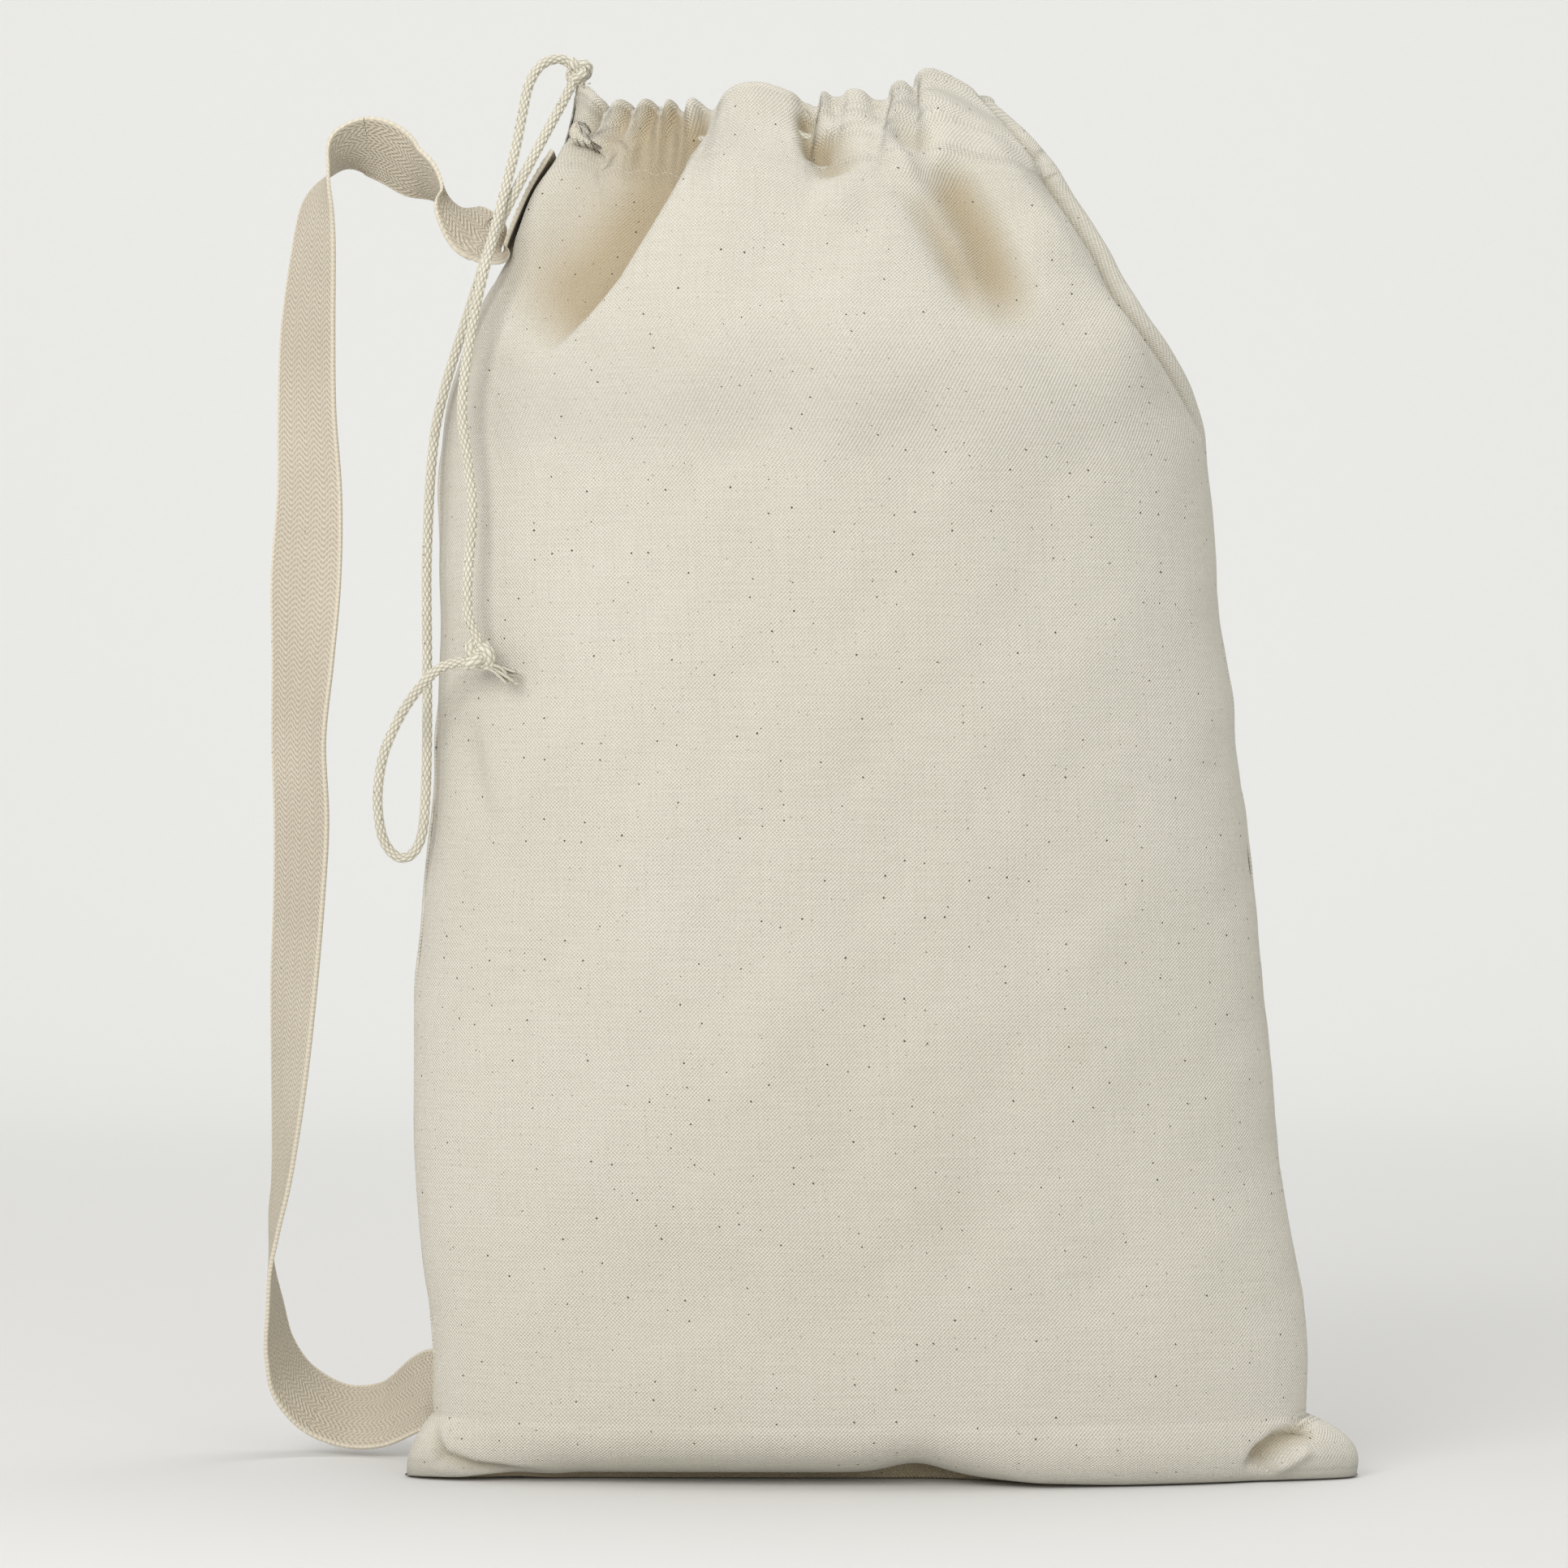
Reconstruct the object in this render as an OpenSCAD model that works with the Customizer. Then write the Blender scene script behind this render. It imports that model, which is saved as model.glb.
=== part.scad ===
// Drawstring laundry bag of cotton canvas, standing on its base, with a webbing
// shoulder strap on its left side. The origin is the middle of the base, on the
// floor. +X is to the wearer's right of the front face, the front faces -Y, +Z is up.

/* [Bag] */
// Height of the mouth's rim above the floor
bag_h = 664; // [500:1:820]
// Width of the base, without its corner ears
base_w = 408; // [320:1:500]
// Widest part, just above the floor
hip_w = 418; // [330:1:510]
// Width at the belly
belly_w = 407; // [320:1:500]
// Width at the shoulders, where the gathers begin
shoulder_w = 360; // [280:1:440]
// Front-to-back depth of the flat base
base_d = 92; // [60:1:130]
// Depth just above the floor
hip_d = 116; // [80:1:160]
// Depth at the belly
belly_d = 154; // [110:1:200]
// Depth at the shoulders
shoulder_d = 190; // [130:1:230]
// How far the belly leans to the left of the base
belly_lean = 18; // [0:1:30]
// How far the shoulders lean to the left of the base
shoulder_lean = 26; // [0:1:40]
// Thickness of the canvas
canvas_t = 1.5; // [1:0.1:2.5]
// How far each bottom corner sticks out as an ear
ear_reach = 24; // [8:1:40]
// Height of the ears
ear_h = 28; // [15:1:45]

/* [Mouth and tunnel] */
// Width of the gathered mouth
mouth_w = 196; // [150:1:260]
// Depth of the gathered mouth
mouth_d = 70; // [56:1:110]
// How far the mouth stands to the left of the base
mouth_lean = 48; // [20:1:70]
// Gathers along each half of the mouth
gathers = 6; // [3:1:8]
// Depth of one gather at the rim
gather_d = 3; // [0:0.5:4]
// Height of the turned-down hem
hem_h = 34; // [26:1:50]
// Clear width of the tunnel in the hem
tunnel_w = 7; // [6:0.5:10]
// Flat land along the hem's lower edge, for its stitching
hem_land = 5; // [3:0.5:8]
// Half width of the opening in the hem that the drawstring leaves by
exit_half = 7; // [6:0.5:10]

/* [Seams and thread] */
// Width of the seam allowances
seam_w = 10; // [6:1:16]
// Thickness of a seam allowance
seam_t = 3; // [2:0.5:4]
// Thickness of the sewing thread's rows
thread_d = 0.8; // [0.6:0.1:1.2]

/* [Strap] */
// Width of the webbing
strap_w = 38; // [25:1:50]
// Thickness of the webbing
strap_t = 2; // [1.5:0.1:3]
// How far the strap stands off from the line between its ends
strap_reach = 78; // [60:1:110]
// Length of each end that is sewn down
strap_sewn = 46; // [35:1:60]
// How far below the rim the upper end leaves the bag
strap_top_drop = 76; // [60:1:140]
// Height of the lower sewn end's middle
strap_low_z = 38; // [28:1:60]

/* [Drawstring] */
// Diameter of the braided cord
cord_d = 4.8; // [4:0.1:6]
// Diameter of the stopper knot at the exit
exit_knot_d = 12; // [10:0.5:16]
// Diameter of the knot that ties the two ends
end_knot_d = 15; // [12:0.5:20]
// Length of the frayed ends
fray_l = 18; // [10:1:30]
// How far the drawstring pulls out of the tunnel
pull = 24; // [10:1:26]

/* [Hidden] */

// Heights where the outline changes
hip_z = 40;
belly_z = 222;
shoulder_z = bag_h - 159;
// The gathers fade out this far below the rim
gather_reach = 110;
// How the taper and the lean from shoulders to mouth ease in: 1 is a straight line
taper_ease = 1.15;
lean_ease = 1.6;

// The tunnel leaves the cord some room, and the hem folds over the panel's top edge in a
// half round
cord_room = 2.2;
tunnel = max(tunnel_w, cord_d + cord_room);
fold_r = tunnel / 2 + canvas_t;
panel_top = bag_h - fold_r;
hem_z = bag_h - hem_h;
hem_slant = 5;

// Steps round half the bag and up its side
half_steps = 36;
side_steps = 20;
// The ears begin at this share of the half width
ear_start = 0.85;
ear_levels = [0, 0.25, 0.55, 0.8];

// Clearance between pieces that meet but aren't joined
gap = 0.3;

// Colours
canvas_color = [0.87, 0.84, 0.76];
lining_color = [0.84, 0.80, 0.71];
webbing_color = [0.82, 0.78, 0.69];
cord_color = [0.80, 0.77, 0.68];
thread_color = [0.93, 0.91, 0.85];

// ---- outline of the bag ----

// Share of the way from the shoulders (0) to the rim (1)
function taper(z) = max(0, (z - shoulder_z) / (bag_h - shoulder_z));

function half_width(z) = z > shoulder_z
  ? (shoulder_w - (shoulder_w - mouth_w) * pow(taper(z), taper_ease)) / 2
  : lookup(z, [[0, base_w], [hip_z, hip_w], [belly_z, belly_w], [shoulder_z, shoulder_w]]) / 2;

function half_depth(z) = z > shoulder_z
  ? (shoulder_d - (shoulder_d - mouth_d) * pow(taper(z), taper_ease)) / 2
  : lookup(z, [[0, base_d], [hip_z, hip_d], [belly_z, belly_d], [shoulder_z, shoulder_d]]) / 2;

function centre(z) = z > shoulder_z
  ? -shoulder_lean - (mouth_lean - shoulder_lean) * pow(taper(z), lean_ease)
  : -lookup(z, [[0, 0], [belly_z, belly_lean], [shoulder_z, shoulder_lean]]);

// Extra half width of the ears, which fades out at their top
function ear(z) = z < ear_h ? ear_reach * (1 - pow(z / ear_h, 2)) : 0;

// The gathers dip inwards, and fade out down the bag
function dip(z, q) =
  gather_d * max(0, 1 - (bag_h - z) / gather_reach) * (1 - cos(2 * gathers * q)) / 2;

// Point of the outline at height z. Angle q is 0 at the left seam, 90 in front,
// 180 at the right seam and 270 behind; inset moves the point in from the face.
function outline(z, q, inset = 0) =
  let (s = -cos(q))
  let (out = max(0, abs(s) - ear_start) / (1 - ear_start))
  [
    centre(z) + s * (half_width(z) - inset - dip(z, q)) + sign(s) * ear(z) * out,
    -sin(q) * (half_depth(z) - inset - dip(z, q)),
    z
  ];

// Angle at which the outline at height z is y in front of the left seam
function angle_at(z, y) = asin(y / half_depth(z));

// ---- skins ----

// Closed solid over a row of loops. Every loop has the same even number of points,
// its two halves face each other, and each end is closed by a ladder across them.
// Facing quads are split along the same diagonal, so a thin twisted wall keeps its
// thickness.
module skin(loops) {
  n = len(loops);
  m = len(loops[0]);
  sides = [
    for (i = [0 : n - 2], k = [0 : m - 1])
      let (a = i * m + k, b = i * m + (k + 1) % m)
      each k < m / 2 ? [[a, b + m, b], [a, a + m, b + m]] : [[a, a + m, b], [b, a + m, b + m]]
  ];
  first = [for (k = [0 : m / 2 - 2]) each [[k, m - 2 - k, m - 1 - k], [k, k + 1, m - 2 - k]]];
  last = [for (f = first) [for (v = [2, 1, 0]) f[v] + (n - 1) * m]];
  polyhedron([for (l = loops) each l], concat(sides, first, last), convexity = 8);
}

function unit(v) = v / norm(v);
function reversed(list) = [for (i = [len(list) - 1 : -1 : 0]) list[i]];
function mix(a, b, t) = a + (b - a) * t;

// Smooth curve through the points, with n steps between neighbours
function smooth(p, n) = [
  for (i = [0 : len(p) - 2], j = [0 : n - 1])
    let (t = j / n)
    let (a = p[max(i - 1, 0)], b = p[i], c = p[i + 1], d = p[min(i + 2, len(p) - 1)])
    0.5 * (2 * b + (c - a) * t + (2 * a - 5 * b + 4 * c - d) * t * t
      + (3 * b - a - 3 * c + d) * t * t * t),
  p[len(p) - 1]
];

function direction(p, i) = unit(p[min(i + 1, len(p) - 1)] - p[max(i - 1, 0)]);

// Round tube of diameter d along the points; side is any direction that the path
// never follows
module tube(path, d, sides, side) {
  skin([
    for (i = [0 : len(path) - 1])
      let (t = direction(path, i), u = unit(cross(side, t)), v = cross(t, u))
      [for (k = [0 : sides - 1])
        path[i] + d / 2 * (cos(360 * k / sides) * u + sin(360 * k / sides) * v)]
  ]);
}

// Flat webbing along the points, each with the rough direction of its width, which
// is squared to the direction that the webbing runs in
module ribbon(points, widths) {
  skin([
    for (i = [0 : len(points) - 1])
      let (run = direction(points, i))
      let (w = unit(widths[i] - (widths[i] * run) * run) * strap_w / 2)
      let (t = unit(cross(run, w)) * strap_t / 2)
      [points[i] - w - t, points[i] + w - t, points[i] + w + t, points[i] - w + t]
  ]);
}

// ---- canvas ----

LEVELS = concat(
  [for (share = ear_levels) share * ear_h],
  [for (i = [0 : side_steps]) mix(ear_h, panel_top, i / side_steps)]
);

// One half of the bag, from angle q0 to q0 + 180: down the outside, across the base
// to the bottom seam, and back up the inside. The seam narrows into the corners, where
// it takes at most this share of the half depth.
seam_share = 0.8;

module panel(q0) {
  skin([
    for (i = [0 : half_steps])
      let (q = q0 + 180 * i / half_steps)
      let (seam_y = -sign(sin(q)) * min(seam_w / 2, seam_share * half_depth(0) * abs(sin(q))))
      let (seam_x = outline(0, q, 2 * canvas_t)[0])
      concat(
        [for (z = reversed(LEVELS)) outline(z, q)],
        [[seam_x, seam_y, 0], [seam_x, seam_y, canvas_t]],
        [for (z = LEVELS) outline(max(z, canvas_t), q, canvas_t)]
      )
  ]);
}

module front_panel() color(canvas_color) panel(0);

module back_panel() color(canvas_color) panel(180);

// Cross-section of the hem as [inset, height]: over the rim, down the inside of the
// tunnel, and flat on the panel along its lower edge
HEM_OUT = concat(
  [for (a = [0 : 30 : 180]) [fold_r - fold_r * cos(a), panel_top + fold_r * sin(a)]],
  [[2 * fold_r, hem_z + hem_land + hem_slant], [2 * canvas_t, hem_z + hem_land],
   [2 * canvas_t, hem_z]]
);
HEM_IN = let (r = fold_r - canvas_t) concat(
  [for (a = [0 : 30 : 180]) [fold_r - r * cos(a), panel_top + r * sin(a)]],
  [[fold_r + r, hem_z + hem_land + hem_slant + canvas_t / 2],
   [canvas_t, hem_z + hem_land + canvas_t / 2], [canvas_t, hem_z]]
);

module casing(q0, q1) {
  section = concat(HEM_IN, reversed(HEM_OUT));
  skin([
    for (i = [0 : half_steps])
      let (q = mix(q0, q1, i / half_steps))
      [for (p = section) outline(p[1], q, p[0])]
  ]);
}

exit_q = angle_at(bag_h, exit_half);

module front_casing() color(lining_color) casing(exit_q, 180);

module back_casing() color(lining_color) casing(180, 360 - exit_q);

// Row of thread round the outside, along the hem's land
module casing_stitching() {
  z = hem_z + hem_land / 2;
  r = thread_d / 2;
  color(thread_color) skin([
    for (i = [1 : 2 * half_steps - 1])
      let (q = 180 * i / half_steps)
      [outline(z - r, q), outline(z + r, q), outline(z + r / 2, q, -r), outline(z - r / 2, q, -r)]
  ]);
}

// Seam allowance inside the left (side -1) or right (side 1) edge
module side_seam(side) {
  q = side < 0 ? 0 : 180;
  levels = [for (z = LEVELS) if (z > canvas_t + seam_t && z < hem_z - gap) z];
  skin([
    for (z = side < 0 ? levels : reversed(levels))
      let (a = outline(z, q, canvas_t)[0], b = a - side * seam_w)
      [[a, -seam_t / 2, z], [b, -seam_t / 2, z], [b, seam_t / 2, z], [a, seam_t / 2, z]]
  ]);
}

module left_side_seam() color(lining_color) side_seam(-1);

module right_side_seam() color(lining_color) side_seam(1);

// Flat-felled seam that joins the panels along the middle of the base
bottom_seam_l = base_w + 2 * ear_reach - seam_w;

module bottom_seam() color(lining_color)
  translate([-bottom_seam_l / 2, -seam_w / 2, 0]) cube([bottom_seam_l, seam_w, seam_t]);

// Two bar tacks that stop the exit opening from tearing, this far round from its sides
tack_angle = 3;

module exit_bartacks() {
  color(thread_color) for (side = [-1, 1])
    translate(outline(bag_h, side * (exit_q + tack_angle), fold_r))
      rotate([0, 90, 0]) cylinder(d = 2 * thread_d, h = tunnel, center = true, $fn = 24);
}

// ---- strap ----

// Where the webbing leaves its sewn ends. The lower end comes off the back panel,
// this far round from the left seam.
strap_top_z = bag_h - strap_top_drop;
low_q = -25;
TOP_END = [outline(strap_top_z, 0)[0] - strap_t, 0, strap_top_z];
LOW_END = outline(strap_low_z, low_q, -strap_t);

// How the webbing leaves each end, up to where it twists
TOP_LEAD = [[-6, 0, -4], [-13, 0, 1], [-21, 0, 12], [-28, 0, 23]];
LOW_LEAD = [[-7, 4, 0], [-13, 13, 0], [-20, 23, -1], [-27, 30, -4]];

// The strap swings about the line between the two places where it twists
TOP_HINGE = TOP_END + TOP_LEAD[3];
LOW_HINGE = LOW_END + LOW_LEAD[3];
// Clearance there, so that it can turn
turn_gap = 3;

// Free run from the upper to the lower hinge point. Each row is the share of the
// height between them, how far out to the left and how far back of the line
// between them, as shares of the reach, and the direction of the width.
STRAP_RUN = [
  [[1.00, 0.00, 0.00], [0, 1, 0]],
  [[1.02, 0.12, 0.015], [0, 1, 0]],
  [[1.03, 0.24, 0.08], [-0.3, 0.8, -0.5]],
  [[1.04, 0.37, 0.13], [-0.2, 0.7, -0.6]],
  [[1.045, 0.49, 0.16], [0, 0.7, -0.7]],
  [[1.04, 0.62, 0.17], [0.2, 0.9, -0.5]],
  [[1.03, 0.72, 0.17], [0, 1, 0]],
  [[1.00, 0.81, 0.14], [-0.4, 0.9, 0.1]],
  [[0.96, 0.83, 0.13], [-0.6, 0.8, 0]],
  [[0.82, 0.86, 0.08], [-0.8, 0.6, 0]],
  [[0.69, 0.84, 0.03], [-0.9, 0.4, 0]],
  [[0.55, 0.87, 0.01], [-0.7, 0.7, 0]],
  [[0.42, 0.85, 0.03], [-0.7, 0.7, 0]],
  [[0.28, 0.89, 0.08], [-0.5, 0.85, 0]],
  [[0.17, 0.95, 0.15], [-0.3, 0.95, 0]],
  [[0.10, 1.01, 0.23], [0, 1, 0]],
  [[0.035, 0.97, 0.31], [0.25, 0.95, 0.05]],
  [[0.005, 0.88, 0.34], [0.4, 0.85, 0.25]],
  [[-0.015, 0.72, 0.36], [0.3, 0.75, 0.55]],
  [[-0.02, 0.51, 0.34], [0, 0.7, 0.7]],
  [[-0.012, 0.26, 0.22], [0, 0.1, 1]],
  [[0.00, 0.00, 0.00], [0, 0, 1]]
];

function run_point(r) =
  mix(LOW_HINGE, TOP_HINGE, r[0]) + strap_reach * [-r[1], r[2], 0];

module strap() color(webbing_color) ribbon(
  smooth([for (s = STRAP_RUN) run_point(s[0])], 2),
  smooth([for (s = STRAP_RUN) s[1]], 2)
);

// The points that lead from an end to its hinge point, the last one turn_gap short
function lead(end, steps) =
  let (p = [for (s = steps) end + s], n = len(p) - 1)
  [for (i = [0 : n]) i < n ? p[i] : p[n] - turn_gap * unit(p[n] - p[n - 1])];

// The upper end is sewn up the left side seam, which leans in above it
seam_rise = 0.87;
sewn_top_z = strap_top_z + strap_sewn * seam_rise;
SEWN_TOP = [outline(sewn_top_z, 0)[0] - strap_t, 0, sewn_top_z];

module strap_top_end() color(webbing_color) ribbon(
  concat([SEWN_TOP, mix(SEWN_TOP, TOP_END, 0.5), TOP_END], lead(TOP_END, TOP_LEAD)),
  [for (i = [0 : 2 + len(TOP_LEAD)]) [0, 1, 0]]
);

// The lower end is sewn along the back panel
around_low = half_width(strap_low_z) + half_depth(strap_low_z);
sewn_q = low_q - 180 / PI * strap_sewn / around_low * 2;
sewn_steps = 4;
SEWN_LOW = [
  for (i = [0 : sewn_steps])
    outline(strap_low_z, mix(sewn_q, low_q, i / sewn_steps), -strap_t)
];

module strap_bottom_end() color(webbing_color) ribbon(
  concat(SEWN_LOW, lead(LOW_END, LOW_LEAD)),
  [for (i = [0 : sewn_steps + len(LOW_LEAD)]) [0, 0, 1]]
);

// Box of thread on a sewn end, drawn on the plane through a that l and w span, this
// far in from the webbing's edges
box_inset = 5;

module box_stitching(a, l, w, lift) {
  inset = box_inset;
  n = unit(cross(l, w)) * lift;
  u = unit(l);
  v = unit(w);
  corners = [
    for (c = [[inset, inset], [norm(l) - inset, inset], [norm(l) - inset, norm(w) - inset],
        [inset, norm(w) - inset]])
      a + u * c[0] + v * c[1] + n
  ];
  for (pair = [[0, 1], [1, 2], [2, 3], [3, 0]])
    tube([corners[pair[0]], corners[pair[1]]], thread_d, 8, n);
}

module strap_top_stitching() color(thread_color) box_stitching(
  TOP_END - [0, strap_w / 2, 0], SEWN_TOP - TOP_END, [0, strap_w, 0],
  -strap_t / 2 - thread_d / 2
);

module strap_bottom_stitching() color(thread_color) box_stitching(
  SEWN_LOW[0] - [0, 0, strap_w / 2], SEWN_LOW[sewn_steps] - SEWN_LOW[0], [0, 0, strap_w],
  -strap_t / 2 - thread_d / 2
);

// ---- drawstring ----

// Middle of the stopper knot, just above the exit opening
knot_rise = [-2, -2, 8];
EXIT = outline(bag_h, 0, fold_r) + knot_rise;

// Route of the hanging loop, from the stopper knot: over and down the front to the
// end knot, out in a loop to the left, and back up the side
CORD_ROUTE = [
  [0, 0, 0], [-8, -3, 5], [-17, -6, 2], [-23, -10, -8], [-26, -17, -24], [-29, -25, -42],
  [-34, -34, -64], [-39, -41, -86], [-45, -47, -112], [-50, -52, -142], [-52, -55, -167],
  [-49, -57, -192], [-47, -58, -214], [-49, -58, -242], [-49, -58, -262], [-44, -59, -276],
  [-45, -58, -284], [-53, -55, -284], [-63, -50, -287], [-73, -43, -296], [-83, -35, -310],
  [-91, -29, -328], [-94, -24, -348], [-92, -20, -366], [-86, -18, -375], [-79, -18, -375],
  [-74, -18, -367], [-72, -18, -352], [-71, -18, -322], [-71, -18, -277], [-71, -19, -232],
  [-68, -21, -182], [-62, -24, -153], [-51, -28, -119], [-40, -30, -86], [-28, -29, -60],
  [-14, -17, -31], [-5, -6, -12], [0, 0, 0]
];
// How far the shoulder stands outside the exit where the route above is right, and how far
// down the cord comes to follow the shoulder when the bag's widths change
route_step = 63;
route_drop = 86;

function hung(p) =
  let (share = min(1, max(0, -p[2]) / route_drop))
  EXIT + p + [share * (outline(shoulder_z, 0)[0] - EXIT[0] + route_step), 0, 0];

end_knot_at = hung([-44, -59, -281]);

module drawstring() color(cord_color)
  tube(smooth([for (p = CORD_ROUTE) hung(p)], 2), cord_d, 10, [0, 1, 0]);

// Turns of cord wound side by side round a core, pulled into each other
knot_squeeze = 0.8;

module knot(d, turns) {
  pitch = cord_d * knot_squeeze;
  core_h = pitch * (turns - 1);
  rotate_extrude($fn = 48) {
    translate([0, -core_h / 2]) square([(d - cord_d) / 2, core_h]);
    for (k = [0 : turns - 1])
      translate([(d - cord_d) / 2, k * pitch - core_h / 2]) circle(d = cord_d, $fn = 32);
  }
}

module exit_knot() color(cord_color) translate(EXIT) rotate([0, 25, 0]) knot(exit_knot_d, 2);

module end_knot() color(cord_color) translate(end_knot_at) rotate([0, -40, 0]) knot(end_knot_d, 3);

// The two strands between the knot and the tunnel, long enough for the pull
module exit_strands() {
  top = EXIT[2] - exit_knot_d / 2 + 1;
  color(cord_color) for (side = [-1, 1])
    translate([EXIT[0] + 1, side * (cord_d / 2 + gap / 2), top - pull - cord_d])
      cylinder(d = cord_d, h = pull + cord_d, $fn = 32);
}

module frayed_tails() {
  color(cord_color) for (turn = [-25, 0, 25])
    translate(end_knot_at) rotate([0, 130 + turn, 0])
      translate([0, 0, end_knot_d / 2 - 1]) cylinder(d = cord_d / 2, h = fray_l, $fn = 24);
}

// The rest of the drawstring, round the inside of the tunnel
module casing_cord() {
  start = angle_at(bag_h - hem_h / 2, exit_half + cord_d);
  path = [
    for (i = [0 : half_steps])
      outline(panel_top - hem_h / 3, mix(start, 360 - start, i / half_steps), fold_r)
  ];
  color(cord_color) tube(path, cord_d, 10, [0, 0, 1]);
}

front_panel();
back_panel();
front_casing();
back_casing();
casing_stitching();
left_side_seam();
right_side_seam();
bottom_seam();
exit_bartacks();
casing_cord();
strap_top_end();
strap_bottom_end();
strap_top_stitching();
strap_bottom_stitching();
strap();
exit_knot();
exit_strands();
drawstring();
end_knot();
frayed_tails();
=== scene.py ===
"""Looks of the canvas laundry bag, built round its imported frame. Metres, origin under the bag."""
import math

import bmesh
import bpy
import numpy as np
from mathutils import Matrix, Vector


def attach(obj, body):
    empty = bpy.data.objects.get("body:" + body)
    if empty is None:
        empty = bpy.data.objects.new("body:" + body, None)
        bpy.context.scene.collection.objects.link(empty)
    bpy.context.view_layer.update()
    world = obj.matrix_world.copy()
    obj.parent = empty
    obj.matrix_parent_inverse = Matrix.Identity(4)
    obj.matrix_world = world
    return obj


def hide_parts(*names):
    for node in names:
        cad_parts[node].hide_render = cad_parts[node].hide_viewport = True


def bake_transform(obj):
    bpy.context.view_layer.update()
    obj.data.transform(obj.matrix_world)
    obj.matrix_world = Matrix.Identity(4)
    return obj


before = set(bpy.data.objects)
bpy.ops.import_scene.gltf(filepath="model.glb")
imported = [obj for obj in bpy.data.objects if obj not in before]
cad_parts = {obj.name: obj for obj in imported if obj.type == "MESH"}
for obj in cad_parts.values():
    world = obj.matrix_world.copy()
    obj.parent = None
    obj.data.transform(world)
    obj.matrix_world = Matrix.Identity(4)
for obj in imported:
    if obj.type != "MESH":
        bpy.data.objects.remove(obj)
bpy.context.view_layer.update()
MM = 0.001
rng = np.random.default_rng(7)

# ---- camera ----

CAMERA_AT = (-0.0446, -2.5, 0.331)
LENS, SENSOR = 120, 36


def add_camera():
    data = bpy.data.cameras.new("camera")
    data.lens, data.sensor_width = LENS, SENSOR
    camera = bpy.data.objects.new("camera", data)
    camera.location = CAMERA_AT
    camera.rotation_euler = (math.radians(90), 0, 0)
    bpy.context.scene.collection.objects.link(camera)
    bpy.context.scene.camera = camera


add_camera()
bpy.context.scene.view_settings.view_transform = "Standard"

# ---- curves and meshes ----


def smooth_path(points, steps):
    """Catmull-Rom curve through the points, with that many steps between neighbours."""
    p = np.asarray(points, float)
    p = np.vstack([p[:1], p, p[-1:]])
    t = np.linspace(0, 1, steps, endpoint=False)[:, None]
    parts = [
        0.5 * (2 * b + (c - a) * t + (2 * a - 5 * b + 4 * c - d) * t**2 + (3 * b - a - 3 * c + d) * t**3)
        for a, b, c, d in zip(p, p[1:], p[2:], p[3:])
    ]
    return np.vstack(parts + [p[-1:]])


def along(path):
    """Distance along the path at each of its points."""
    return np.r_[0, np.cumsum(np.linalg.norm(np.diff(path, axis=0), axis=1))]


def evenly(path, step):
    """The path with its points a step apart."""
    s = along(path)
    at = np.linspace(0, s[-1], max(2, int(s[-1] / step) + 1))
    return np.column_stack([np.interp(at, s, path[:, k]) for k in range(path.shape[1])])


def unit(v):
    return v / np.maximum(np.linalg.norm(v, axis=-1, keepdims=True), 1e-12)


def ease(t):
    """0 to 1 with a soft start and end."""
    t = np.clip(t, 0, 1)
    return t * t * (3 - 2 * t)


def frames(path):
    """Direction, and two square directions that don't spin, at each point of the path."""
    run = unit(np.gradient(path, axis=0))
    side = unit(np.cross(run[0], (0.3, 0.5, 0.8)))
    sides = []
    for r in run:
        side = unit(side - r * (side @ r))
        sides.append(side)
    sides = np.array(sides)
    return run, sides, np.cross(run, sides)


def grid_mesh(name, points, uv, wrap=False):
    """Mesh over rows of points, smooth, with a UV map in metres. wrap closes each row."""
    rows, cols = points.shape[:2]
    last = cols if wrap else cols - 1
    faces, corners = [], []
    flat_uv = uv.reshape(-1, 2)
    for i in range(rows - 1):
        for j in range(last):
            k = (j + 1) % cols
            quad = (i * cols + j, i * cols + k, (i + 1) * cols + k, (i + 1) * cols + j)
            faces.append(quad)
            corners.extend(quad)
    mesh = bpy.data.meshes.new(name)
    mesh.from_pydata(points.reshape(-1, 3).tolist(), [], faces)
    mesh.uv_layers.new(name="flat").data.foreach_set("uv", flat_uv[corners].ravel())
    mesh.polygons.foreach_set("use_smooth", [True] * len(faces))
    mesh.update()
    return mesh


def add_object(name, mesh, material):
    obj = bpy.data.objects.new(name, mesh)
    bpy.context.scene.collection.objects.link(obj)
    mesh.materials.append(material)
    return obj


def close_ends(mesh, rows, cols):
    """Caps on the first and last ring of a wrapped grid."""
    bm = bmesh.new()
    bm.from_mesh(mesh)
    bm.verts.ensure_lookup_table()
    bm.faces.new([bm.verts[j] for j in reversed(range(cols))])
    bm.faces.new([bm.verts[(rows - 1) * cols + j] for j in range(cols)])
    bmesh.ops.recalc_face_normals(bm, faces=bm.faces)
    bm.to_mesh(mesh)
    bm.free()


BRAID_LAY = 0.0046       # length of one crossing of the braid
BRAID_STRANDS = 6
CORD_ROUND = 0.015       # way round the cord, for its UV map


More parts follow.
